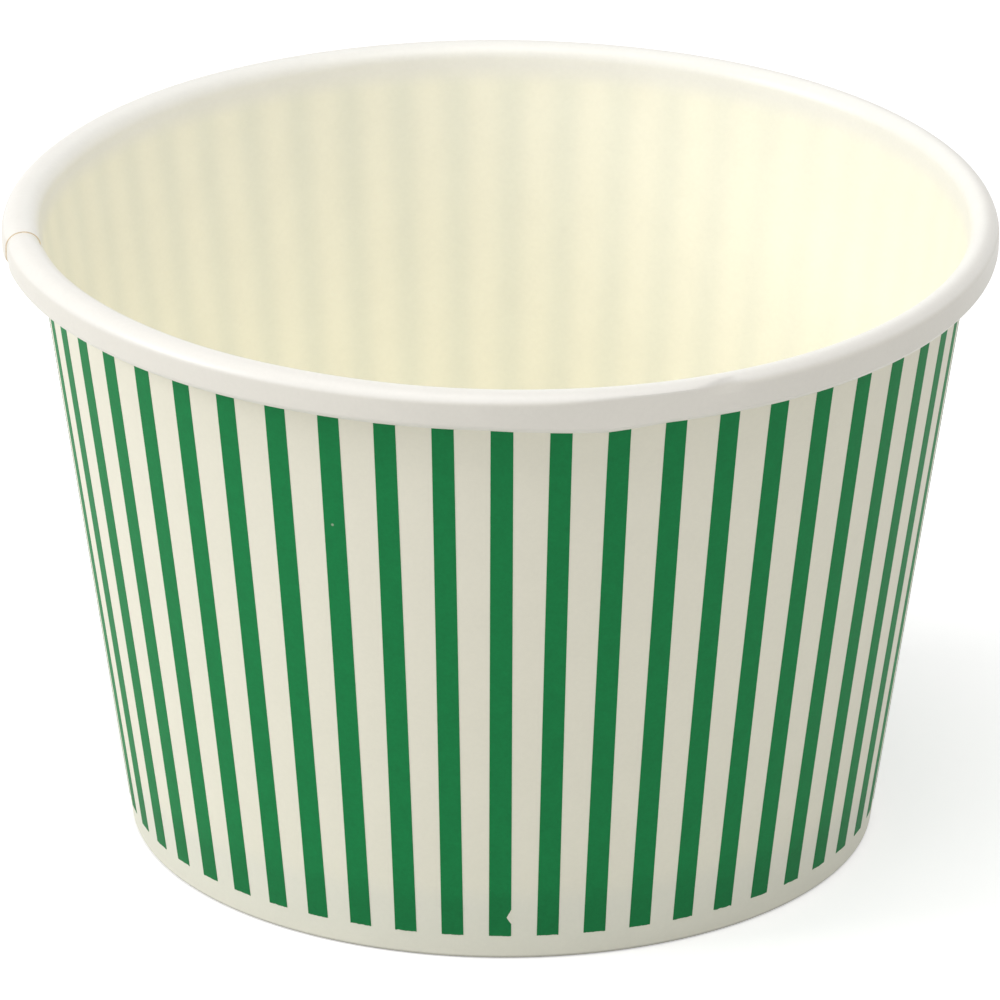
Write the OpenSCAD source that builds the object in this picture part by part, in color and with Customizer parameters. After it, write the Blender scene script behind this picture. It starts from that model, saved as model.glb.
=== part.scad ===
// Paper dessert cup: a striped single-wall tub with a rolled rim and a hemmed, recessed base.
// Two sheets of coated board: the wall, lapped at a side seam, and the base disc held in its hem.
// The cup stands on z = 0 with its axis on Z, and its side seam faces -X.

/* [Cup] */
// Overall height, to the top of the rolled rim
cup_h = 62.2; // [50:0.1:80]
// Outside diameter of the wall, carried down to the table
foot_d = 71.7; // [60:0.1:85]
// Lean of the wall from upright, in degrees
lean = 8.35; // [4:0.05:12]
// Thickness of the wall board
board_t = 0.4; // [0.3:0.05:0.6]

/* [Rolled rim] */
// Radius of the curl over the top of the rim
curl_top_r = 1.6; // [1.4:0.05:2.2]
// Gap left between the wall and the curl where it turns under
curl_gap = 0.4; // [0.3:0.05:0.8]
// Straight stretch pressed into the outside of the curl
curl_flat_h = 0.9; // [0.4:0.1:2]
// How far the board runs on inside the curl after it turns under, in degrees
curl_tail = 50; // [10:5:80]

/* [Side seam] */
// Width of the lap at the foot, where the sheet is glued to itself; it widens with the cup
lap_w = 4.5; // [3:0.5:8]
// Turn of the seam from -X towards -Y, in degrees
seam_turn = 4.5; // [-20:0.1:20]

/* [Base] */
// Height of the base above the table
base_h = 8; // [7:0.5:11]
// Gap between the cut edge of the hem and the bend of the base above it
hem_gap = 0.8; // [0.2:0.1:3]
// Thickness of the base board
base_t = 0.35; // [0.25:0.05:0.5]
// Outside radius of the fold at the foot
fold_r = 0.5; // [0.4:0.05:0.55]
// Outside radius of the bend between the base disc and its skirt
bend_r = 0.8; // [0.6:0.1:1.2]

/* [Stripes] */
// Number of stripes round the cup
stripe_n = 50; // [36:2:60]
// Width of one stripe, the same from top to bottom
stripe_w = 2.1; // [1:0.1:2.6]
// White margin between the foot and the lower ends of the stripes
stripe_margin = 2.5; // [1.5:0.1:6]
// Extra white at the side seam, in degrees round the cup
seam_white = 4; // [2:0.5:10]
// Turn of the middle of that wide gap from the middle of the seam, in degrees
gap_shift = -5.7; // [-8:0.1:8]
// Thickness of the ink, drawn heavier than life so that it is a solid
ink_t = 0.06; // [0.04:0.01:0.1]

/* [Hidden] */
$fn = 96;
// Turn between the points along a bend in section, in degrees
arc_step = 10;
white_board = [0.94, 0.93, 0.87];
green_ink = [0.13, 0.53, 0.31];

// Level widths of each thickness, measured through the leaning wall
foot_r = foot_d / 2;
wall_x = board_t / cos(lean);
base_x = base_t / cos(lean);
ink_x = ink_t / cos(lean);

// The lap is two boards pressed together, which stand half a board proud on each face
lap_proud = board_t / 2;
lap_x = lap_proud / cos(lean);
lap_a = 2 * asin(lap_w / foot_d);
// How far round the under curl the outer board of the lap reaches, in degrees
lap_under = 130;

// Level depth of each layer at the foot, inwards from the wall's outside face
skirt_in = wall_x;
hem_in = wall_x + base_x;
hem_end = 2 * wall_x + base_x;

// Height of the hem folded up inside the foot
hem_h = base_h - bend_r - hem_gap;

// The top curl in section: its centre, and the angle where it is tangent to the wall's inside face
top_z = cup_h - curl_top_r;
top_c = [face(wall_x, top_z) + curl_top_r / cos(lean), top_z];
join_a = 180 - lean;
// The under curl fills the width between the rim's outside and the wall, less its gap
rim_r = top_c.x + curl_top_r;
under_z = top_z - curl_flat_h;
curl_under_r = (rim_r - face(0, under_z) - curl_gap) / 2;
under_c = [rim_r - curl_under_r, under_z];

// Upper ends of the stripes and of the lap's outside, hidden in the nook under the curl
stripe_top_z = under_z - curl_under_r / 2;
lap_top_z = under_z - curl_under_r;
// Width and pitch of the stripes round the cup, in degrees
stripe_pitch = (360 - seam_white) / stripe_n;
first_stripe = seam_turn + gap_shift + (stripe_pitch + seam_white) / 2;
// Reach of the cutting slabs and sectors, beyond every piece
reach = rim_r + 5;

// Radius of a face of the leaning wall at height z, at a level depth from its outside face
function face(depth, z) = foot_r - depth + z * tan(lean);
// Points along an arc about c in section, from angle a0 to a1
function arc(c, r, a0, a1) =
    let (steps = ceil(abs(a1 - a0) / arc_step))
    [for (i = [0:steps]) let (a = a0 + (a1 - a0) * i / steps) c + r * [cos(a), sin(a)]];
// The same points in the other order
function back(points) = [for (i = [len(points) - 1:-1:0]) points[i]];
// Points over the curl at a depth from its outside: over the top, down the flat and under
function curl(depth, under_a) = concat(
    arc(top_c, curl_top_r - depth, join_a, 0),
    arc(under_c, curl_under_r - depth, 0, -under_a)
);

// Outline of a bent board in section, from the points along its two faces
module board_section(face_a, face_b) {
    polygon(concat(face_a, back(face_b)));
}

// The whole wall sheet in section: hem, fold at the foot, leaning side and curl
module sheet_section() {
    outside = concat(
        [[face(hem_end, hem_h), hem_h]],
        arc([face(hem_end - fold_r / cos(lean), fold_r), fold_r], fold_r, join_a, 270),
        arc([face(fold_r / cos(lean), fold_r), fold_r], fold_r, 270, 360 - lean),
        curl(board_t, 180 + curl_tail)
    );
    inside = concat(
        [[face(hem_in, hem_h), hem_h], [face(hem_in, board_t), board_t]],
        [[face(skirt_in, board_t), board_t]],
        curl(0, 180 + curl_tail)
    );
    board_section(outside, inside);
}

// The lap in section: what stands half a board proud outside, and inside and over the curl
module lap_section() {
    core = board_t * 0.6;
    core_x = wall_x * 0.6;
    board_section(
        [[face(-lap_x, fold_r), fold_r], [face(-lap_x, lap_top_z), lap_top_z]],
        [[face(core_x, fold_r), fold_r], [face(core_x, lap_top_z), lap_top_z]]
    );
    board_section(
        concat([[face(wall_x - core_x, base_h), base_h]], curl(core, lap_under)),
        concat([[face(wall_x + lap_x, base_h), base_h]], curl(-lap_proud, lap_under))
    );
}

// Part turn of a section about the axis, centred at an angle from -X towards -Y
module part_turn(span, turn) {
    rotate(180 + turn - span / 2) rotate_extrude(angle = span) children();
}

// The wall: one sheet with its rolled rim, its leaning side, the lap and the hem folded in below
module cup_wall() {
    color(white_board) {
        rotate_extrude() sheet_section();
        part_turn(lap_a, seam_turn) lap_section();
    }
}

// The base in section: a disc whose edge is bent down into the slot between the wall and the hem
module base_section() {
    bend_z = base_h - bend_r;
    bend_c = [face(skirt_in, bend_z) - bend_r / cos(lean), bend_z];
    board_section(
        concat([[face(skirt_in, board_t), board_t]], arc(bend_c, bend_r, -lean, 90), [[0, base_h]]),
        concat([[face(hem_in, board_t), board_t]], arc(bend_c, bend_r - base_t, -lean, 90), [[0, base_h - base_t]])
    );
}

// The base, with its skirt seated on the bottom of the hem's slot
module base_disc() {
    color(white_board) rotate_extrude() base_section();
}

// Film of ink for one stripe: a band of constant width on a leaning face, up to height z1
module stripe_film(turn, proud, z1) {
    intersection() {
        part_turn(4 * asin(stripe_w / foot_d), turn)
            board_section(
                [[face(-proud - ink_x, stripe_margin), stripe_margin], [face(-proud - ink_x, z1), z1]],
                [[face(-proud, stripe_margin), stripe_margin], [face(-proud, z1), z1]]
            );
        rotate(180 + turn) translate([0, -stripe_w / 2, 0]) cube([reach, stripe_w, cup_h]);
    }
}

// Everything over the lap, as a cutter for what crosses its edges
module over_lap() {
    part_turn(lap_a, seam_turn) square([reach, cup_h]);
}

// One stripe, stepped out where it crosses the lap
module stripe(turn) {
    apart = abs(turn - seam_turn);
    on_lap = min(apart, 360 - apart) < lap_a / 2 + asin(stripe_w / foot_d);
    difference() {
        stripe_film(turn, 0, stripe_top_z);
        if (on_lap) over_lap();
    }
    if (on_lap) intersection() {
        stripe_film(turn, lap_x, lap_top_z);
        over_lap();
    }
}

// Printed stripes, evenly round the cup from one side of the wide gap to the other
module stripe_print() {
    color(green_ink) for (i = [0:stripe_n - 1]) stripe(first_stripe + i * stripe_pitch);
}

cup_wall();
base_disc();
stripe_print();
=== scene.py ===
# %% [markdown]
# Paper dessert cup, dressed for the camera.
#
# The cup is two sheets of coated board and a print. The wall sheet is bent into a cone, lapped on itself
# at a side seam, curled outwards into the rim and folded in at the foot. The base sheet is a disc with
# a turned-down edge. The construction model already holds every size, so this script loads it first as
# a frame and then makes finer sheets in the same place. Lengths are written in millimetres and scaled to
# Blender's metres when a mesh is made.

# %% Load the frame
import math

import bmesh
import bpy
from mathutils import Matrix, Vector


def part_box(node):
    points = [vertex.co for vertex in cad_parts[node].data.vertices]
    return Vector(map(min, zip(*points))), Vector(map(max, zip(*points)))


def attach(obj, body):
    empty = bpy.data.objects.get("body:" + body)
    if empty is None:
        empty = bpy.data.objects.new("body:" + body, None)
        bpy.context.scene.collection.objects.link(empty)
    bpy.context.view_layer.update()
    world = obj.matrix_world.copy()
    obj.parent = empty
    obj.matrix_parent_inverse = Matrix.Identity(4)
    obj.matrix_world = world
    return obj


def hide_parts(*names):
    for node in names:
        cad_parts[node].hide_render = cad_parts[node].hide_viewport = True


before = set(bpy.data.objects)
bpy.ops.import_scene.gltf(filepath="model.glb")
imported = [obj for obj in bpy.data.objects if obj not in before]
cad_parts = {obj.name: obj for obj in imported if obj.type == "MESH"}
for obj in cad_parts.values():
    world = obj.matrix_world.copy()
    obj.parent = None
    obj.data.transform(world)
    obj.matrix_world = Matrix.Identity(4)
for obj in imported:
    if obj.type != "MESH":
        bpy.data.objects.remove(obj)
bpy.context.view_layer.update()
MM = 0.001
wall_low, wall_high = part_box("cup_wall")
base_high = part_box("base_disc")[1]
print("wall in the frame, mm:", [round(v / MM, 2) for v in (*wall_low, *wall_high)])

# %% [markdown]
# The camera comes first. The photograph was taken with a long lens from about 23 degrees above the table,
# so the far rim is hardly smaller than the near one. A camera built from its own right, up and back
# vectors is easier to reason about than three Euler angles.

# %% Camera
CAMERA_DISTANCE = 1140.8
CAMERA_ELEVATION = math.radians(22.68)
CAMERA_ROLL = 0.0046
TARGET_HEIGHT = 30.06
PHOTO_SIDE = 1000
PX_PER_MM = 10.372
TARGET_PX = (503.3, 519.55)
SENSOR_WIDTH = 36.0
SIGHT_END = 20.0


def add_camera():
    """Camera that frames the cup as the photograph does, with its target at a named pixel."""
    data = bpy.data.cameras.new("camera")
    data.sensor_width = SENSOR_WIDTH
    data.lens = data.sensor_width * PX_PER_MM * CAMERA_DISTANCE / PHOTO_SIDE
    data.shift_x = -(TARGET_PX[0] - PHOTO_SIDE / 2) / PHOTO_SIDE
    data.shift_y = (TARGET_PX[1] - PHOTO_SIDE / 2) / PHOTO_SIDE
    data.clip_end = SIGHT_END
    camera = bpy.data.objects.new("camera", data)
    bpy.context.scene.collection.objects.link(camera)
    back = Vector((0, -math.cos(CAMERA_ELEVATION), math.sin(CAMERA_ELEVATION)))
    level_up = Vector((0, math.sin(CAMERA_ELEVATION), math.cos(CAMERA_ELEVATION)))
    level_right = Vector((1, 0, 0))
    turn_cos = math.cos(CAMERA_ROLL)
    turn_sin = math.sin(CAMERA_ROLL)
    right = level_right * turn_cos + level_up * turn_sin
    up = level_up * turn_cos - level_right * turn_sin
    place = (Vector((0, 0, TARGET_HEIGHT)) + back * CAMERA_DISTANCE) * MM
    camera.matrix_world = Matrix.Translation(place) @ Matrix((right, up, back)).transposed().to_4x4()
    bpy.context.scene.camera = camera
    print("camera lens, mm:", round(data.lens, 1))


add_camera()

# %% [markdown]
# A node tree is easiest to follow when its arithmetic reads like arithmetic. This small class wraps
# a socket, so that adding or multiplying two of them places and links the Math nodes. It serves the geometry
# trees and the shader trees alike.


# %% Formulas in node trees
class Field:
    """A node socket that can take part in a formula."""

    def __init__(self, tree, socket):
        self.tree = tree
        self.socket = socket

    def math(self, operation, *others):
        node = self.tree.nodes.new("ShaderNodeMath")
        node.operation = operation
        for slot, value in zip(node.inputs, (self, *others)):
            feed(self.tree, slot, value)
        return Field(self.tree, node.outputs[0])

    def __add__(self, other):
        return self.math("ADD", other)

    def __sub__(self, other):
        return self.math("SUBTRACT", other)

    def __mul__(self, other):
        return self.math("MULTIPLY", other)

    def __truediv__(self, other):
        return self.math("DIVIDE", other)

    def inverse(self):
        """1 where the field is 0, and 0 where it is 1."""
        return self * -1.0 + 1.0

    def step_between(self, low, high):
        """0 below low, 1 above high and a smooth rise between them."""
        node = self.tree.nodes.new("ShaderNodeMapRange")
        node.interpolation_type = "SMOOTHERSTEP"
        for name, value in (("Value", self), ("From Min", low), ("From Max", high)):
            feed(self.tree, node.inputs[name], value)
        return Field(self.tree, node.outputs[0])

    def bump_at(self, place, width):
        """For a turn in degrees: 1 at a place and 0 further away than about two widths, all round."""
        offset = (self - place).math("WRAP", 180.0, -180.0) / width
        return (offset * offset * -1.0).math("EXPONENT")


def feed(tree, slot, value):
    """Link a field or a socket into a slot, or set a plain value on it."""
    if isinstance(value, Field):
        tree.links.new(value.socket, slot)
    elif isinstance(value, bpy.types.NodeSocket):
        tree.links.new(value, slot)
    else:
        slot.default_value = value


def place_node(tree, kind, properties=None, **inputs):
    """A node with its properties set and its named inputs fed."""
    node = tree.nodes.new(kind)
    for name, value in (properties or {}).items():
        setattr(node, name, value)
    for name, value in inputs.items():
        feed(tree, node.inputs[name.replace("_", " ")], value)
    return node


def new_tree(name, kind, inputs, outputs):
    """A node tree with named inputs and outputs, its input node and its output node."""
    tree = bpy.data.node_groups.new(name, kind)
    for way, sockets in (("INPUT", inputs), ("OUTPUT", outputs)):
        for title, socket_kind in sockets.items():
            tree.interface.new_socket(title, in_out=way, socket_type="NodeSocket" + socket_kind)
    return tree, tree.nodes.new("NodeGroupInput"), tree.nodes.new("NodeGroupOutput")


def use_group(tree, group, **inputs):
    """A shared group placed in another tree, with its inputs fed by name."""
    kinds = {"GeometryNodeTree": "GeometryNodeGroup", "ShaderNodeTree": "ShaderNodeGroup"}
    node = tree.nodes.new(kinds[tree.bl_idname])
    node.node_tree = group
    for name, value in inputs.items():
        feed(tree, node.inputs[name.replace("_", " ")], value)
    return node


# %% [markdown]
# Both sheets are described by their section: the outline one would see after slicing the cup from rim to
# foot. The height and the rim come from the frame's boxes and the rest are the sizes of the real tub. The
# foot's radius follows from them and is printed, so a slip in one number shows at once.

# %% Sizes of the cup
LAP_PROUD = 0.2
CUP_H = wall_high.z / MM - LAP_PROUD
RIM_R = wall_high.y / MM
BASE_H = base_high.z / MM
BOARD_T = 0.4
BASE_T = 0.35
LEAN = math.radians(8.35)
CURL_TOP_R = 1.6
CURL_FLAT_H = 0.9
CURL_GAP = 0.4
CURL_TAIL = math.radians(50)
FOLD_R = 0.5
BEND_R = 0.8
HEM_GAP = 0.8
HEM_H = BASE_H - BEND_R - HEM_GAP
WALL_X = BOARD_T / math.cos(LEAN)
BASE_X = BASE_T / math.cos(LEAN)
TOP_Z = CUP_H - CURL_TOP_R
UNDER_Z = TOP_Z - CURL_FLAT_H
TOP_X = RIM_R - CURL_TOP_R
FOOT_R = TOP_X - CURL_TOP_R / math.cos(LEAN) + WALL_X - TOP_Z * math.tan(LEAN)


def face(depth, z):
    """Radius of a face of the leaning wall at a height, at a level depth from the outside."""
    return FOOT_R - depth + z * math.tan(LEAN)


CURL_UNDER_R = (RIM_R - face(0, UNDER_Z) - CURL_GAP) / 2
UNDER_X = RIM_R - CURL_UNDER_R
print("cup height", round(CUP_H, 2), "rim radius", round(RIM_R, 2), "foot radius", round(FOOT_R, 2))
print("under curl radius", round(CURL_UNDER_R, 3))

# %% [markdown]
# Each point of the section also knows which way the inside face of the sheet lies, which face it is on,
# and what kind of surface it belongs to: the outside, the inside or the rolled curl. At the seam the two
# ends of the sheet slide past each other along that direction and are pressed thinner, and so the lap is
# right on the wall, round the curl and in the hem, all from one rule.

# %% Points of a bent sheet in section
BEND_STEP = math.radians(7)
OUTSIDE, INSIDE, ROLLED = 0.0, 1.0, 2.0
OUTER_SIDE, INNER_SIDE = -0.5, 0.5
SIDE_START = 0.6
SIDE_STEPS = 30


def bend(centre, radius, start, end, towards_centre=False, kind=OUTSIDE):
    """Points round a bend: radius, height, direction of the inside face, and the kind of surface."""
    count = max(2, math.ceil(abs(end - start) / BEND_STEP))
    side = -1 if towards_centre else 1
    points = []
    for i in range(count + 1):
        a = start + (end - start) * i / count
        points.append((centre[0] + radius * math.cos(a), centre[1] + radius * math.sin(a),
                       side * math.cos(a), side * math.sin(a), kind))
    return points


def run(start, end, direction, kind=OUTSIDE):
    """Points along a straight stretch, without its two ends."""
    return [(start[0] + (end[0] - start[0]) * i / SIDE_STEPS, start[1] + (end[1] - start[1]) * i / SIDE_STEPS,
             *direction, kind) for i in range(1, SIDE_STEPS)]


def sheet_outline():
    """Closed outline of the wall sheet: its outside face from hem to curl, and its inside face back."""
    inwards = (-math.cos(LEAN), math.sin(LEAN))
    outwards = (math.cos(LEAN), -math.sin(LEAN))
    join = math.pi - LEAN
    last = -(math.pi + CURL_TAIL)
    top, under = (TOP_X, TOP_Z), (UNDER_X, UNDER_Z)
    hem_end = 2 * WALL_X + BASE_X
    hem_in = WALL_X + BASE_X
    inner_fold = (face(hem_end - FOLD_R / math.cos(LEAN), FOLD_R), FOLD_R)
    outer_fold = (face(FOLD_R / math.cos(LEAN), FOLD_R), FOLD_R)
    outside = [(face(hem_end, HEM_H), HEM_H, *outwards, OUTSIDE)]
    outside += bend(inner_fold, FOLD_R, join, 1.5 * math.pi, towards_centre=True)
    outside += bend(outer_fold, FOLD_R, 1.5 * math.pi, 2 * math.pi - LEAN, towards_centre=True)
    outside += run((face(0, SIDE_START), SIDE_START), (face(0, TOP_Z), TOP_Z), inwards)
    outside += bend(top, CURL_TOP_R - BOARD_T, join, 0, kind=ROLLED)
    outside += bend(under, CURL_UNDER_R - BOARD_T, 0, last, kind=ROLLED)
    inside = [(face(hem_in, HEM_H), HEM_H, *outwards, OUTSIDE),
              (face(hem_in, BOARD_T), BOARD_T, *outwards, OUTSIDE),
              (face(WALL_X, BOARD_T), BOARD_T, *inwards, INSIDE)]
    inside += run((face(WALL_X, BOARD_T), BOARD_T), (face(WALL_X, TOP_Z), TOP_Z), inwards, INSIDE)
    inside += bend(top, CURL_TOP_R, join, 0, kind=ROLLED)
    inside += bend(under, CURL_UNDER_R, 0, last, kind=ROLLED)
    return [(*p, OUTER_SIDE) for p in outside] + [(*p, INNER_SIDE) for p in inside[::-1]]


print("points in the wall's section:", len(sheet_outline()))

# %% [markdown]
# A real cup is never a perfect cone. The rim rises and sags a little, the curl stands out further on the
# seam side, and its face is flattened along the front. One stretch is pressed deeper and ends in a crease,
# and the lower edge comes down to a corner there. All of that is one geometry group, which turns a place
# on the sheet into a point in space. The wall and the print both pass through it, so the print stays on
# the wall.

# %% Shape of the cup as a shared geometry group
SEAM_TURN = 4.5
LAP_TURN = 7.2
SEAM_START = SEAM_TURN - LAP_TURN / 2
RIM_ZONE = (CUP_H - 9.0, CUP_H - 3.0)
RIM_WAVE = 0.12
WAVE_SCALE = 1.7
RIM_RISES = ((35.0, 25.0, 0.30), (66.0, 14.0, 0.10), (125.0, 40.0, -0.28), (335.0, 25.0, -0.25))
BEAD_SHIFT = 0.38
CORNER = (88.0, 101.6, 109.0)
CORNER_DROP = 0.45
CORNER_ZONE = (UNDER_Z - 0.4, TOP_Z + 0.9)
FLATTENED = (10.0, 28.0, 166.0, 182.0)
FLAT_DEPTH = 0.15
PRESSED = (92.0, 107.0, 116.0, 119.0)
PRESS_DEPTH = 0.25
PRESS_Z = 1.03
PRESS_SLOPE = 0.10
CREASE_RISE = (112.0, 116.5)
CREASE_LEAN = 0.4


def between(turn, stretch):
    """1 on a stretch of the rim and 0 beyond it, from four turns: start, full, full and end."""
    return turn.step_between(*stretch[:2]) * turn.step_between(*stretch[2:]).inverse()


def make_cup_shape():
    """Group: turn from the seam side in degrees, radius, height and lift in mm to a point in metres."""
    tree, entry, out = new_tree(
        "cup_shape", "GeometryNodeTree",
        dict.fromkeys(("Turn", "Radius", "Height", "Way R", "Way Z", "Lift", "Side"), "Float"),
        {"Point": "Vector"},
    )
    turn, radius, height, way_r, way_z, lift, side = (Field(tree, s) for s in entry.outputs[:7])
    angle = turn * (math.pi / 180)
    cos_a, sin_a = angle.math("COSINE"), angle.math("SINE")
    around = place_node(tree, "ShaderNodeCombineXYZ", X=cos_a, Y=sin_a)
    waves = place_node(tree, "ShaderNodeTexNoise", Vector=around.outputs[0], Scale=WAVE_SCALE, Detail=1.0)
    # The whole rim rises and sags
    rise = (Field(tree, waves.outputs[0]) - 0.5) * RIM_WAVE
    for place, width, amount in RIM_RISES:
        rise = rise + turn.bump_at(place, width) * amount
    # The lower edge of the curl comes down to a corner
    low, corner, high = CORNER
    drop = ((turn - low) / (corner - low)).math("MINIMUM", (turn - high) / (corner - high))
    drop = drop.math("MAXIMUM", 0.0) * (height.step_between(*CORNER_ZONE) - 1.0) * CORNER_DROP
    # The curl's face is flat along the front, and leans where it was pressed deeper
    pressed = between(turn, PRESSED)
    depth = between(turn, FLATTENED) * FLAT_DEPTH + pressed * PRESS_DEPTH
    crease = (height - TOP_Z).math("MAXIMUM", 0.0) * turn.step_between(*CREASE_RISE) * CREASE_LEAN
    leaning = ((height * -1.0 + (TOP_Z + PRESS_Z)) * PRESS_SLOPE - crease) * pressed
    curl_r = radius.math("MINIMUM", leaning - depth + (side - INNER_SIDE) * BOARD_T + RIM_R)
    # The curl stands out further on the seam side
    outwards = ((radius - TOP_X) / (2 * CURL_TOP_R) + 0.5).math("MAXIMUM", 0.0).math("MINIMUM", 1.0)
    curl_r = curl_r + cos_a * outwards * BEAD_SHIFT
    r = (curl_r + way_r * lift) * MM
    z = (height + way_z * lift + (rise + drop) * height.step_between(*RIM_ZONE)).math("MAXIMUM", 0.0) * MM
    point = place_node(tree, "ShaderNodeCombineXYZ", X=r * cos_a * -1.0, Y=r * sin_a * -1.0, Z=z)
    tree.links.new(point.outputs[0], out.inputs[0])
    return tree


cup_shape = make_cup_shape()
print("shape group inputs:", [s.name for s in cup_shape.interface.items_tree if s.in_out == "INPUT"])

# %% [markdown]
# The wall sheet follows a rule, so a geometry tree makes it: the section is swept once round the cup and
# a little further, and the sweep's own length tells each point how far it has turned. The first stretch
# lies on the outside of the lap and the last on the inside, both pressed thinner than the rest and
# pinched at their cut edges.

# %% Geometry tree that sweeps a section round the cup
TURN_STEPS = 360
LAP_BLEND = 5.0
LAP_PRESS = 0.6
SKIVE_TURN = 1.2
SKIVE_T = 0.45


def named(tree, name):
    """A float attribute by name, as a field."""
    node = place_node(tree, "GeometryNodeInputNamedAttribute", {"data_type": "FLOAT"}, Name=name)
    return Field(tree, node.outputs["Attribute"])


def lap_lift(turned, board, side):
    """Slide of the sheet towards its inside face: its start lies outside the lap and its end inside."""
    started = turned.step_between(LAP_TURN, LAP_TURN + LAP_BLEND)
    ending = turned.step_between(360 - LAP_BLEND, 360)
    slid = (started + ending - 1.0) * (0.5 * LAP_PRESS)
    thinned = (ending - started + 1.0) * (LAP_PRESS - 1.0) * side
    to_end = turned * -1.0 + (360 + LAP_TURN)
    skived = turned.step_between(0.0, SKIVE_TURN) * to_end.step_between(0.0, SKIVE_TURN)
    return ((slid + thinned + side) * (skived * (1.0 - SKIVE_T) + SKIVE_T) - side) * board


def make_sweep():
    """Tree that bends a sheet round the cup and laps it over itself."""
    tree, entry, out = new_tree(
        "lapped_sheet", "GeometryNodeTree",
        {"Geometry": "Geometry", "Steps": "Int", "Seam Start": "Float", "Board": "Float",
         "Material": "Material"},
        {"Geometry": "Geometry"},
    )
    section, steps, seam_start, board, material = entry.outputs[:5]
    outline = place_node(tree, "GeometryNodeMeshToCurve", Mesh=section)
    line = place_node(tree, "GeometryNodeCurvePrimitiveLine", End=(0.0, 0.0, 1.0))
    path = place_node(tree, "GeometryNodeResampleCurve", Curve=line.outputs[0], Count=steps)
    factor = tree.nodes.new("GeometryNodeSplineParameter").outputs["Factor"]
    marked = place_node(tree, "GeometryNodeStoreNamedAttribute", {"data_type": "FLOAT", "domain": "POINT"},
                        Geometry=path.outputs[0], Name="along", Value=factor)
    swept = place_node(tree, "GeometryNodeCurveToMesh", Curve=marked.outputs[0],
                       Profile_Curve=outline.outputs[0], Fill_Caps=True)
    turned = named(tree, "along") * (360.0 + LAP_TURN)
    side = named(tree, "side")
    turn = turned + seam_start
    point = use_group(tree, cup_shape, Turn=turn, Radius=named(tree, "sec_r"), Height=named(tree, "sec_z"),
                      Way_R=named(tree, "way_r"), Way_Z=named(tree, "way_z"),
                      Lift=lap_lift(turned, board, side), Side=side)
    placed = place_node(tree, "GeometryNodeSetPosition", Geometry=swept.outputs[0],
                        Position=point.outputs[0])
    told = place_node(tree, "GeometryNodeStoreNamedAttribute", {"data_type": "FLOAT", "domain": "POINT"},
                      Geometry=placed.outputs[0], Name="turn", Value=turn)
    real = place_node(tree, "GeometryNodeRealizeInstances", Geometry=told.outputs[0])
    dressed = place_node(tree, "GeometryNodeSetMaterial", Geometry=real.outputs[0], Material=material)
    tree.links.new(dressed.outputs[0], out.inputs[0])
    return tree


sweep_tree = make_sweep()
print("nodes in the sweep:", len(sweep_tree.nodes))

# %% [markdown]
# A tree is only a recipe. It runs as a modifier on a helper object, its result is kept as a plain closed
# mesh, and the helper goes away, because the finished pieces carry no live modifiers.

# %% Run a tree and keep its result as a plain mesh
SHARP_ANGLE = math.radians(35)


def run_tree(name, start_mesh, tree, inputs, material):
    """Evaluate a geometry tree on a mesh and return a plain object of that name."""
    maker = bpy.data.objects.new(name + "_maker", start_mesh)
    bpy.context.scene.collection.objects.link(maker)
    modifier = maker.modifiers.new("nodes", "NODES")
    modifier.node_group = tree
    values = {**inputs, "Material": material}
    for item in tree.interface.items_tree:
        if item.in_out == "INPUT" and item.name in values:
            modifier[item.identifier] = values[item.name]
    bpy.context.view_layer.update()
    shown = maker.evaluated_get(bpy.context.evaluated_depsgraph_get())
    mesh = bpy.data.meshes.new_from_object(shown)
    maker.modifiers.remove(modifier)
    bpy.data.objects.remove(maker)
    mesh.name = name
    # A primitive in a tree may leave an empty slot, so the finish is put alone on the mesh
    mesh.materials.clear()
    mesh.materials.append(material)
    piece = bpy.data.objects.new(name, mesh)
    bpy.context.scene.collection.objects.link(piece)
    turn_outwards(mesh)
    return piece


def turn_outwards(mesh):
    """Flip a closed mesh if its faces point inwards, and print its size."""
    work = bmesh.new()
    work.from_mesh(mesh)
    if work.calc_volume(signed=True) < 0:
        bmesh.ops.reverse_faces(work, faces=work.faces)
    volume = work.calc_volume(signed=True) / MM**3
    work.to_mesh(mesh)
    work.free()
    open_edges = len(mesh.edges) * 2 - sum(p.loop_total for p in mesh.polygons)
    print(mesh.name, "faces", len(mesh.polygons), "volume mm3", round(volume), "open edges", open_edges)


def smooth(mesh):
    """Shade bends smooth and keep cut edges sharp."""
    mesh.shade_smooth()
    mesh.set_sharp_from_angle(angle=SHARP_ANGLE)


# %% [markdown]
# Paper looks like paper because of three small things: a cloudy unevenness in its tone, a fine tooth in
# its surface and a soft, broad shine from its coating. The first two are used by every finish on the cup,
# so they are one shader group that reads object coordinates and puts out a tone and a height.

# %% Paper grain as a shared shader group
CLOUD_DETAIL = 3.0
TOOTH_DETAIL = 2.0
CLOUD_HEIGHT = 0.4
GRAIN_INPUTS = ("Cloud Size", "Cloud Depth", "Tooth Size", "Tooth Depth")


def on_piece(tree):
    """Object coordinates, in metres, which stay with the piece."""
    return tree.nodes.new("ShaderNodeTexCoord").outputs["Object"]


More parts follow.
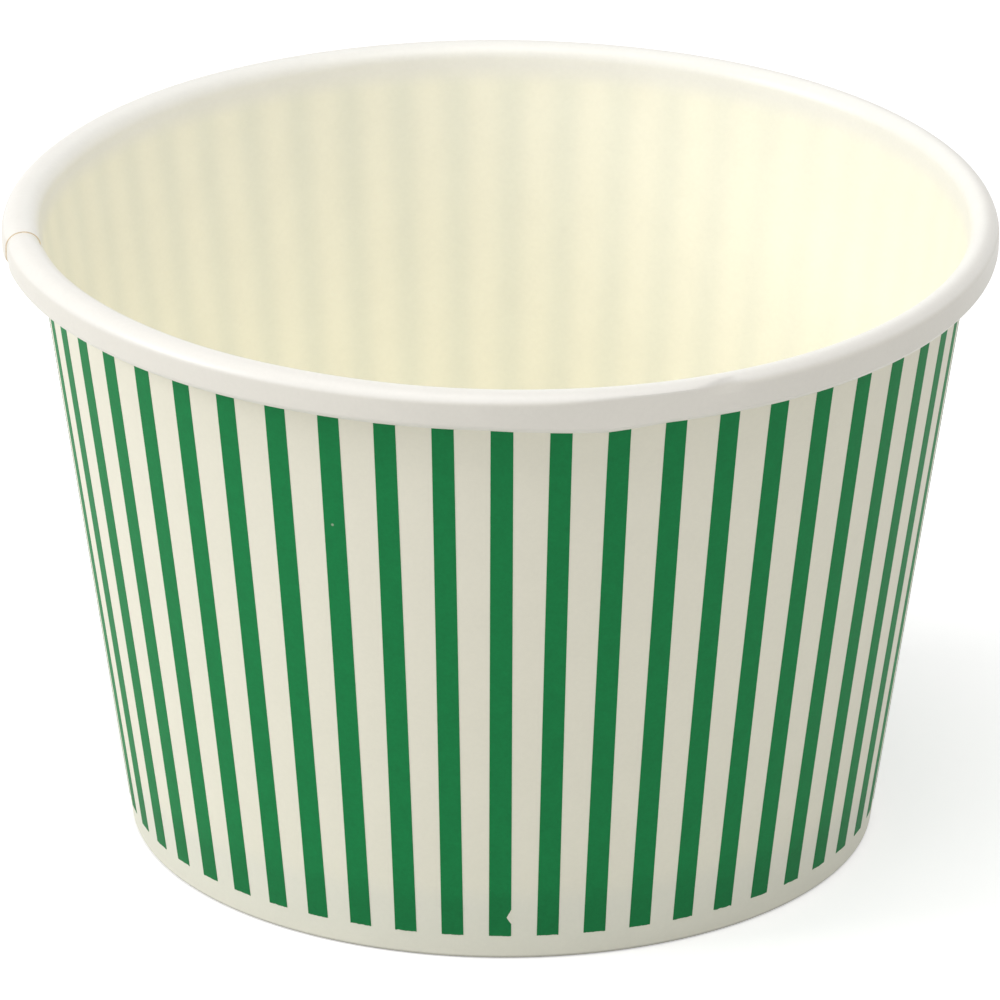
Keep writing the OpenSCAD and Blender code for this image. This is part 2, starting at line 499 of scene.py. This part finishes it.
def make_paper_grain():
    """Group: cloudy tone and fine tooth of coated board."""
    tree, entry, out = new_tree(
        "paper_grain", "ShaderNodeTree",
        dict.fromkeys(GRAIN_INPUTS, "Float"), {"Tone": "Float", "Height": "Float"},
    )
    cloud_size, cloud_depth, tooth_size, tooth_depth = (Field(tree, s) for s in entry.outputs[:4])
    where = on_piece(tree)
    cloud = place_node(tree, "ShaderNodeTexNoise", Vector=where, Scale=cloud_size, Detail=CLOUD_DETAIL)
    tooth = place_node(tree, "ShaderNodeTexNoise", Vector=where, Scale=tooth_size, Detail=TOOTH_DETAIL)
    cloudy = (Field(tree, cloud.outputs[0]) - 0.5) * cloud_depth
    toothy = (Field(tree, tooth.outputs[0]) - 0.5) * tooth_depth
    tone = cloudy + toothy + 1.0
    height = Field(tree, cloud.outputs[0]) * CLOUD_HEIGHT + Field(tree, tooth.outputs[0])
    tree.links.new(tone.socket, out.inputs[0])
    tree.links.new(height.socket, out.inputs[1])
    return tree


def grain_of(tree, *values):
    """The grain placed in a finish, with its four values in the order of its inputs."""
    return use_group(tree, paper_grain, **{t.replace(" ", "_"): v for t, v in zip(GRAIN_INPUTS, values)})


paper_grain = make_paper_grain()
print("nodes in the grain:", len(paper_grain.nodes))

# %% [markdown]
# Every finish below is one Principled BSDF. Its colours are picked as a screen shows them, from 0 to 255,
# and turned into the linear light that a renderer works with. A few small helpers scale, tint and mix
# them, so each finish reads as a short list of steps.


# %% Helpers for the finishes
def linear(red, green, blue):
    """Linear colour from a colour as a screen shows it, 0 to 255."""
    def channel(v):
        v /= 255
        return v / 12.92 if v <= 0.04045 else ((v + 0.055) / 1.055) ** 2.4
    return (channel(red), channel(green), channel(blue), 1.0)


def new_material(name, roughness, specular):
    """Material with one Principled BSDF, returned with its tree and that node."""
    material = bpy.data.materials.new(name)
    material.use_nodes = True
    tree = material.node_tree
    shader = tree.nodes["Principled BSDF"]
    shader.inputs["Roughness"].default_value = roughness
    shader.inputs["Specular IOR Level"].default_value = specular
    return material, tree, shader


def stored(tree, title):
    """An attribute of the mesh, read in a material."""
    return Field(tree, place_node(tree, "ShaderNodeAttribute", {"attribute_name": title}).outputs["Fac"])


def scaled_colour(tree, colour, tone):
    """A colour multiplied by a tone."""
    node = place_node(tree, "ShaderNodeVectorMath", {"operation": "SCALE"}, Scale=tone)
    feed(tree, node.inputs[0], colour[:3] if isinstance(colour, tuple) else colour)
    return node.outputs[0]


def tinted_colour(tree, colour, tint):
    """A colour multiplied by a tint, channel by channel."""
    node = place_node(tree, "ShaderNodeVectorMath", {"operation": "MULTIPLY"})
    feed(tree, node.inputs[0], colour)
    feed(tree, node.inputs[1], tint)
    return node.outputs[0]


def mixed(tree, share, first, second):
    """Mix of two colours by a share."""
    node = place_node(tree, "ShaderNodeMix", {"data_type": "RGBA"})
    for slot, value in ((node.inputs[0], share), (node.inputs[6], first), (node.inputs[7], second)):
        feed(tree, slot, value)
    return node.outputs[2]


def add_bump(tree, shader, height, strength, depth):
    """Bump from a height, with its depth in mm, fed to the shader's normal."""
    bump = place_node(tree, "ShaderNodeBump", Strength=strength, Distance=depth * MM, Height=height)
    tree.links.new(bump.outputs[0], shader.inputs["Normal"])


# %% [markdown]
# The wall board is one material. Inside, the coating is cream, and the stripes on the other side show
# through it as soft darker bands: painted shade of the print holding back light that passes through the
# board, clearest where light is taken to fall on the wall from behind. The outside is a cooler white, and
# so is the curl, with painted light on its crown and more on its inner side, and painted shade on its
# pressed face. Low on the foot the outside and the ink have painted shade, and the lowest fold a darker
# line of painted contact shade. The sweep left two attributes on the mesh for this: the kind of surface
# and the turn round the cup.

# %% Coated board of the wall
STRIPE_COUNT = 50
SEAM_WHITE = 4.0
GAP_SHIFT = -5.7
STRIPE_PITCH = (360 - SEAM_WHITE) / STRIPE_COUNT
FIRST_STRIPE = SEAM_TURN + GAP_SHIFT + (STRIPE_PITCH + SEAM_WHITE) / 2
OUTSIDE_WHITE = linear(235, 231, 213)
# The curl is one board in three tones: painted shade on its pressed face, painted light on its crown and more
# painted light on its inner side.
CURL_SHADED_WHITE = linear(226, 222, 212)
CROWN_LIT_WHITE = linear(236, 233, 226)
INNER_LIT_WHITE = linear(244, 242, 235)
INNER_ZONE = (-0.7, 0.7)
FACE_OUT = (0.0, 0.6)
FACE_TOP = (TOP_Z + 0.45, TOP_Z + 1.0)
INSIDE_CREAM = linear(254, 251, 234)
# Painted shade of the print seen through the board, clearest at the turn where light is taken to fall from
# behind.
SHOW_THROUGH_SHADE = (0.925, 0.942, 0.955)
SHOW_SOFT = 1.15
SHOW_SHIFT = 1.4
SHOW_BEHIND = (285.0, 62.0)
SHOW_LEAST = 0.25
# Painted shade low on the foot, on the white board and on the ink.
FOOT_SHADE_WHITE = linear(229, 227, 212)
FOOT_SHADE_ZONE = (5.0, 9.0)
# Painted contact shade along the lowest fold, where the foot meets the floor.
FOLD_SHADE = 0.6
FOLD_ZONE = (0.1, 0.5)
INSIDE_KIND = (0.3, 0.9)
ROLLED_KIND = (1.2, 1.8)
CURL_ZONE = (TOP_Z - 3.0, TOP_Z + 0.2)
WALL_ROUGH = 0.6
WALL_SPECULAR = 0.6
CURL_ROUGH = 0.38
WALL_GRAIN = (260.0, 0.05, 2400.0, 0.05)
BOARD_BUMP = (0.25, 0.04)
print("stripe pitch, degrees:", round(STRIPE_PITCH, 3))


def make_wall_board():
    """Coated board: white outside and on the curl, cream inside, with painted light and shade on curl, foot
    and bands.
    """
    material, tree, shader = new_material("wall_board", WALL_ROUGH, WALL_SPECULAR)
    grain = grain_of(tree, *WALL_GRAIN)
    kind, turn = stored(tree, "kind"), stored(tree, "turn")
    spot = place_node(tree, "ShaderNodeSeparateXYZ", Vector=on_piece(tree))
    x, y, height = (Field(tree, s) / MM for s in spot.outputs)
    out_by = (x * x + y * y).math("SQRT") - TOP_X
    curl = kind.step_between(*ROLLED_KIND).math("MAXIMUM", height.step_between(*CURL_ZONE))
    inside = kind.step_between(*INSIDE_KIND)
    # Painted shade in bands where the print holds back light passing through the board, strongest at one
    # turn.
    phase = (turn - FIRST_STRIPE - SHOW_SHIFT) * (2 * math.pi / STRIPE_PITCH)
    shine = turn.bump_at(*SHOW_BEHIND) * (1.0 - SHOW_LEAST) + SHOW_LEAST
    painted_band = (phase.math("COSINE") * 0.5 + 0.5).math("POWER", SHOW_SOFT) * shine * inside * curl.inverse()
    tree.links.new((curl * (CURL_ROUGH - WALL_ROUGH) + WALL_ROUGH).socket, shader.inputs["Roughness"])
    # Painted shade on the curl's pressed face, painted light on its crown and more on its inner side.
    shaded_face = out_by.step_between(*FACE_OUT) * height.step_between(*FACE_TOP).inverse()
    lit_curl = mixed(tree, out_by.step_between(*INNER_ZONE), INNER_LIT_WHITE, CROWN_LIT_WHITE)
    face_colour = mixed(tree, curl, INSIDE_CREAM, mixed(tree, shaded_face, lit_curl, CURL_SHADED_WHITE))
    shown = mixed(tree, painted_band, face_colour, tinted_colour(tree, face_colour, SHOW_THROUGH_SHADE))
    # Painted contact shade along the lowest fold.
    fold_shade = height.step_between(*FOLD_ZONE) * (1.0 - FOLD_SHADE) + FOLD_SHADE
    # Painted shade low on the foot.
    plain = mixed(tree, height.step_between(*FOOT_SHADE_ZONE), FOOT_SHADE_WHITE, OUTSIDE_WHITE)
    outside = scaled_colour(tree, plain, fold_shade)
    colour = mixed(tree, inside, outside, shown)
    tree.links.new(scaled_colour(tree, colour, grain.outputs["Tone"]), shader.inputs["Base Color"])
    add_bump(tree, shader, grain.outputs["Height"], *BOARD_BUMP)
    return material


wall_board = make_wall_board()
print("nodes in the wall's finish:", len(wall_board.node_tree.nodes))

# %% [markdown]
# Where board is cut, its uncoated core shows, rougher and a little browner than the coating. On this cup it
# shows as one fine line, where the outer end of the sheet crosses the curl.

# %% Raw cut edge
EDGE_TONE = linear(232, 214, 186)
EDGE_ROUGH = 0.85
EDGE_SPECULAR = 0.2
EDGE_GRAIN = (1800.0, 0.3, 6000.0, 0.3)
EDGE_BUMP = (0.4, 0.03)


def make_raw_edge():
    """Cut edge of the board, where its uncoated brown-white core shows."""
    material, tree, shader = new_material("raw_edge", EDGE_ROUGH, EDGE_SPECULAR)
    grain = grain_of(tree, *EDGE_GRAIN)
    tone = scaled_colour(tree, EDGE_TONE, grain.outputs["Tone"])
    tree.links.new(tone, shader.inputs["Base Color"])
    add_bump(tree, shader, grain.outputs["Height"], *EDGE_BUMP)
    return material


raw_edge = make_raw_edge()

# %% [markdown]
# Now the wall itself. Its section goes in as a ring of points with attributes, and the tree does the rest.
# Afterwards the faces at the two cut ends of the sheet get the raw-edge finish.

# %% The wall sheet
SECTION_DATA = ("sec_r", "sec_z", "way_r", "way_z", "kind", "side")
TINY = 1e-6


def section_mesh(name, points):
    """Ring of points in a plane, with each point's section data as attributes."""
    mesh = bpy.data.meshes.new(name + "_section")
    count = len(points)
    mesh.from_pydata([(p[0], p[1], 0) for p in points], [(i, (i + 1) % count) for i in range(count)], [])
    for column, title in enumerate(SECTION_DATA):
        layer = mesh.attributes.new(title, "FLOAT", "POINT")
        layer.data.foreach_set("value", [p[column] for p in points])
    return mesh


def finish_cut_ends(mesh, material):
    """Give the faces at the two ends of the sweep their own material."""
    along = [0.0] * len(mesh.vertices)
    mesh.attributes["along"].data.foreach_get("value", along)
    mesh.materials.append(material)
    cut = 0
    for polygon in mesh.polygons:
        ends = [along[v] for v in polygon.vertices]
        if max(ends) < TINY or min(ends) > 1 - TINY:
            polygon.material_index = 1
            cut += 1
    print("faces at cut ends:", cut)


wall = run_tree("wall_sheet", section_mesh("wall", sheet_outline()), sweep_tree,
                {"Steps": TURN_STEPS, "Seam Start": SEAM_START, "Board": BOARD_T}, wall_board)
finish_cut_ends(wall.data, raw_edge)
smooth(wall.data)
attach(wall, "root")
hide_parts("cup_wall")

# %% [markdown]
# The base is a disc whose edge is bent down into the hem. It is round and needs no seam, so its
# section is simply turned on a lathe: one ring of points for each point of the section. A base like this
# is never quite flat, so it is dished a little.

# %% Base sheet
BASE_TURNS = 192
BASE_RINGS = 12
BASE_DISH = 0.25
BASE_ROUGH = 0.5
BASE_SPECULAR = 0.45
BASE_GRAIN = (220.0, 0.05, 2400.0, 0.05)


def lathe(name, points, turns, material):
    """Closed solid of revolution from an outline whose two ends lie on the axis."""
    mesh = bpy.data.meshes.new(name)
    work = bmesh.new()
    rings = []
    for r, z in points:
        if r < TINY:
            rings.append([work.verts.new((0, 0, z * MM))])
            continue
        angles = [2 * math.pi * i / turns for i in range(turns)]
        rings.append([work.verts.new((r * MM * math.cos(a), r * MM * math.sin(a), z * MM)) for a in angles])
    for lower, upper in zip(rings, rings[1:]):
        for i in range(turns):
            j = (i + 1) % turns
            corners = [lower[i % len(lower)], lower[j % len(lower)]]
            corners += [upper[j % len(upper)], upper[i % len(upper)]]
            work.faces.new(list(dict.fromkeys(corners)))
    bmesh.ops.recalc_face_normals(work, faces=work.faces)
    work.to_mesh(mesh)
    work.free()
    mesh.materials.append(material)
    piece = bpy.data.objects.new(name, mesh)
    bpy.context.scene.collection.objects.link(piece)
    turn_outwards(mesh)
    smooth(mesh)
    return piece


def base_outline():
    """Outline of the base board, from the axis underneath, round its skirt and back on top."""
    bend_z = BASE_H - BEND_R
    centre = (face(WALL_X, bend_z) - BEND_R / math.cos(LEAN), bend_z)
    flat = [centre[0] * i / BASE_RINGS for i in range(BASE_RINGS)]
    dish = [BASE_DISH * (1 - (r / centre[0]) ** 2) ** 2 for r in flat]
    under = [(r, BASE_H - BASE_T - d) for r, d in zip(flat, dish)]
    under += [p[:2] for p in bend(centre, BEND_R - BASE_T, math.pi / 2, -LEAN)]
    under += [(face(WALL_X + BASE_X, BOARD_T), BOARD_T), (face(WALL_X, BOARD_T), BOARD_T)]
    top = [p[:2] for p in bend(centre, BEND_R, -LEAN, math.pi / 2)]
    top += [(r, BASE_H - d) for r, d in zip(flat, dish)][::-1]
    return under + top


def make_base_board():
    """Cream coated board of the base."""
    material, tree, shader = new_material("base_board", BASE_ROUGH, BASE_SPECULAR)
    grain = grain_of(tree, *BASE_GRAIN)
    tree.links.new(scaled_colour(tree, INSIDE_CREAM, grain.outputs["Tone"]), shader.inputs["Base Color"])
    add_bump(tree, shader, grain.outputs["Height"], *BOARD_BUMP)
    return material


base = lathe("base_sheet", base_outline(), BASE_TURNS, make_base_board())
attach(base, "root")
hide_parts("base_disc")

# %% [markdown]
# The print is fifty upright stripes. Each is a film of constant width, so the white between them narrows
# towards the foot. A geometry tree places one small slab for each stripe on a row of points and then bends
# the row round the cup with the same shape group as the wall.

# %% Geometry tree for the stripes
STRIPE_W = 2.1
STRIPE_MARGIN = 2.5
STRIPE_TOP = UNDER_Z - CURL_UNDER_R / 2
FILM_PROUD = 0.03
STRIPE_SEED = 5
STRIPE_JITTER = 0.08
SLAB_POINTS = {"Vertices_X": 4, "Vertices_Y": 36, "Vertices_Z": 2}


def make_stripes_tree():
    """Tree that prints a row of stripes on the outside of the wall."""
    tree, entry, out = new_tree(
        "printed_stripes", "GeometryNodeTree",
        {"Geometry": "Geometry", "Count": "Int", "Width": "Float", "Width Jitter": "Float",
         "Pitch": "Float", "First": "Float", "Low": "Float", "High": "Float", "Film": "Float",
         "Board": "Float", "Seed": "Int", "Material": "Material"},
        {"Geometry": "Geometry"},
    )
    slots = {s.name: s for s in entry.outputs}
    value = {name: Field(tree, s) for name, s in slots.items()}
    row = place_node(tree, "GeometryNodeMeshLine", Count=slots["Count"], Offset=(0.0, 0.0, 0.0))
    slab = place_node(tree, "GeometryNodeMeshCube", Size=(1.0, 1.0, 1.0), **SLAB_POINTS)
    spread = place_node(tree, "GeometryNodeInstanceOnPoints", Points=row.outputs[0], Instance=slab.outputs[0])
    index = tree.nodes.new("GeometryNodeInputIndex").outputs[0]
    numbered = place_node(tree, "GeometryNodeStoreNamedAttribute",
                          {"data_type": "FLOAT", "domain": "INSTANCE"},
                          Geometry=spread.outputs[0], Name="number", Value=index)
    real = place_node(tree, "GeometryNodeRealizeInstances", Geometry=numbered.outputs[0])
    position = tree.nodes.new("GeometryNodeInputPosition").outputs[0]
    spot = place_node(tree, "ShaderNodeSeparateXYZ", Vector=position)
    across, up, out_of = (Field(tree, s) for s in spot.outputs)
    number = named(tree, "number")
    wobble = place_node(tree, "FunctionNodeRandomValue", {"data_type": "FLOAT"}, ID=number,
                        Seed=slots["Seed"])
    middle = value["First"] + number * value["Pitch"]
    height = value["Low"] + (up + 0.5) * (value["High"] - value["Low"])
    width = value["Width"] + (Field(tree, wobble.outputs[1]) - 0.5) * value["Width Jitter"]
    radius = height * math.tan(LEAN) + FOOT_R
    turn = middle + across * width / radius * (180 / math.pi)
    outer_face = lap_lift(turn - SEAM_START, value["Board"], OUTER_SIDE)
    lift = outer_face - (out_of + 0.5) * value["Film"]
    point = use_group(tree, cup_shape, Turn=turn, Radius=radius, Height=height, Way_R=-math.cos(LEAN),
                      Way_Z=math.sin(LEAN), Lift=lift, Side=INNER_SIDE)
    told = real
    for title, field in (("across", across * width), ("height", height)):
        told = place_node(tree, "GeometryNodeStoreNamedAttribute", {"data_type": "FLOAT", "domain": "POINT"},
                          Geometry=told.outputs[0], Name=title, Value=field)
    placed = place_node(tree, "GeometryNodeSetPosition", Geometry=told.outputs[0], Position=point.outputs[0])
    dressed = place_node(tree, "GeometryNodeSetMaterial", Geometry=placed.outputs[0],
                         Material=slots["Material"])
    tree.links.new(dressed.outputs[0], out.inputs[0])
    return tree


stripes_tree = make_stripes_tree()
print("nodes in the stripes' tree:", len(stripes_tree.nodes))

# %% [markdown]
# The ink is one flat green with a slight mottle, and painted shade darkens it a little low on the foot.
# Its lower ends are rough, one stripe has a nick in its edge and another a pale fleck. Marks this small would
# waste geometry, so the tree left each point's place on its stripe as attributes and the finish draws them.

# %% Green ink
INK_GREEN = linear(14, 123, 65)
# Painted shade on the ink low on the foot.
INK_FOOT_SHADE = 0.86
NICKED_STRIPE = 12
NICK = (3.9, 4.6, 5.5)
NICK_DEPTH = 0.43
END_ROUGH = 0.10
FLECKED_STRIPE = 9
FLECK = (-0.2, 46.0)
FLECK_R = (0.05, 0.2)
FLECK_SHARE = 0.35
NICK_ROUGH = 0.2
RAGGED_SCALE = 2200.0
INK_ROUGH = 0.6
INK_SPECULAR = 0.17
INK_GRAIN = (700.0, 0.22, 3200.0, 0.3)
INK_BUMP = (0.2, 0.04)


def on_stripe(number, chosen):
    """1 on the stripe of a chosen number and 0 on the others."""
    return (number - chosen).math("ABSOLUTE").math("LESS_THAN", 0.5)


def make_green_ink():
    """Flat printed green with the slight mottle of ink on board, rough at its ends and marked twice."""
    material, tree, shader = new_material("green_ink", INK_ROUGH, INK_SPECULAR)
    grain = grain_of(tree, *INK_GRAIN)
    across, height, number = (stored(tree, title) for title in ("across", "height", "number"))
    noise = place_node(tree, "ShaderNodeTexNoise", Vector=on_piece(tree), Scale=RAGGED_SCALE)
    ragged = Field(tree, noise.outputs[0]) - 0.5
    low, tip, high = NICK
    bite = ((height - low) / (tip - low)).math("MINIMUM", (height - high) / (tip - high)).math("MAXIMUM", 0.0)
    edge = (bite + ragged * NICK_ROUGH) * -NICK_DEPTH + STRIPE_W / 2
    here = on_stripe(number, NICKED_STRIPE) * bite.math("GREATER_THAN", 0.0)
    nick = (across - edge).math("GREATER_THAN", 0.0) * here
    end = (height - STRIPE_MARGIN - END_ROUGH / 2 + ragged * END_ROUGH * 2).math("LESS_THAN", 0.0)
    aside, up = across - FLECK[0], height - FLECK[1]
    away = (aside * aside + up * up).math("SQRT")
    fleck = away.step_between(*FLECK_R).inverse() * on_stripe(number, FLECKED_STRIPE) * FLECK_SHARE
    bare = nick.math("MAXIMUM", end).math("MAXIMUM", fleck)
    # Painted shade low on the foot, on the ink and on bare board where the ink is missing.
    free = height.step_between(*FOOT_SHADE_ZONE)
    ink = scaled_colour(tree, INK_GREEN, (free * (1.0 - INK_FOOT_SHADE) + INK_FOOT_SHADE) * grain.outputs["Tone"])
    colour = mixed(tree, bare, ink, mixed(tree, free, FOOT_SHADE_WHITE, OUTSIDE_WHITE))
    tree.links.new(colour, shader.inputs["Base Color"])
    add_bump(tree, shader, grain.outputs["Height"], *INK_BUMP)
    return material


stripes = run_tree("printed_stripes", bpy.data.meshes.new("stripes_start"), stripes_tree,
                   {"Count": STRIPE_COUNT, "Width": STRIPE_W, "Width Jitter": STRIPE_JITTER,
                    "Pitch": STRIPE_PITCH, "First": FIRST_STRIPE, "Low": STRIPE_MARGIN, "High": STRIPE_TOP,
                    "Film": FILM_PROUD, "Board": BOARD_T, "Seed": STRIPE_SEED}, make_green_ink())
smooth(stripes.data)
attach(stripes, "root")
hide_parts("stripe_print")

# %% [markdown]
# The studio is a pale floor under a large soft lamp to the left, a softer one overhead and an even, dim
# surround. The floor and the world turn white only for camera, mirror and see-through rays, so the
# background is white without any extra light on the cup, and the floor still takes the cup's shadow.

# %% Floor and world
FLOOR_REACH = 6.0
FLOOR_GREY = (0.82, 0.82, 0.82, 1.0)
FLOOR_ROUGH = 0.9
FLOOR_GLOW = 0.4
WORLD_LEVEL = 0.52
WHITE = (1.0, 1.0, 1.0, 1.0)


def seen_directly(tree):
    """1 for camera, mirror and see-through rays, 0 for the rays that light the cup."""
    path = tree.nodes.new("ShaderNodeLightPath")
    seen = Field(tree, path.outputs["Is Camera Ray"])
    for name in ("Is Glossy Ray", "Is Transmission Ray"):
        seen = seen.math("MAXIMUM", path.outputs[name])
    return seen


def add_floor():
    """Large pale floor that shows a faint soft shadow."""
    mesh = bpy.data.meshes.new("floor")
    corners = [(x * FLOOR_REACH, y * FLOOR_REACH, 0) for x, y in ((-1, -1), (1, -1), (1, 1), (-1, 1))]
    mesh.from_pydata(corners, [], [(0, 1, 2, 3)])
    floor = bpy.data.objects.new("floor", mesh)
    bpy.context.scene.collection.objects.link(floor)
    material, tree, shader = new_material("pale_floor", FLOOR_ROUGH, 0.0)
    shader.inputs["Base Color"].default_value = FLOOR_GREY
    shader.inputs["Emission Color"].default_value = WHITE
    glow = seen_directly(tree) * FLOOR_GLOW
    tree.links.new(glow.socket, shader.inputs["Emission Strength"])
    mesh.materials.append(material)


def set_world(strength):
    """Even surround: white to the camera, dimmer as a light."""
    world = bpy.data.worlds.new("surround")
    world.use_nodes = True
    tree = world.node_tree
    background = tree.nodes["Background"]
    background.inputs["Color"].default_value = WHITE
    level = seen_directly(tree) * (1.0 - strength) + strength
    tree.links.new(level.socket, background.inputs["Strength"])
    bpy.context.scene.world = world


add_floor()
set_world(WORLD_LEVEL)
print("world level as a light:", WORLD_LEVEL)

# %% [markdown]
# Each lamp is a square panel aimed at the middle of the cup. A larger panel gives softer shadows. The one
# at the left gives the wall its fall of tone from left to right, and the one overhead lights the inside.

# %% Lamps
LAMP_TARGET = (0.0, 0.0, 0.03)
LAMPS = (
    {"name": "key_left", "place": (-1.0, -0.18, 0.55), "size": 0.55, "power": 5.15},
    {"name": "overhead", "place": (0.0, -0.3, 1.14), "size": 0.9, "power": 5.5},
)


def add_lamp(name, place, size, power):
    """Square area lamp that faces the cup."""
    data = bpy.data.lights.new(name, "AREA")
    data.shape = "SQUARE"
    data.size = size
    data.energy = power
    lamp = bpy.data.objects.new(name, data)
    lamp.location = place
    aim = Vector(LAMP_TARGET) - Vector(place)
    lamp.rotation_euler = aim.to_track_quat("-Z", "Y").to_euler()
    bpy.context.scene.collection.objects.link(lamp)
    print(name, "power, W:", power)


for lamp_values in LAMPS:
    add_lamp(**lamp_values)
bpy.context.scene.view_settings.view_transform = "Standard"
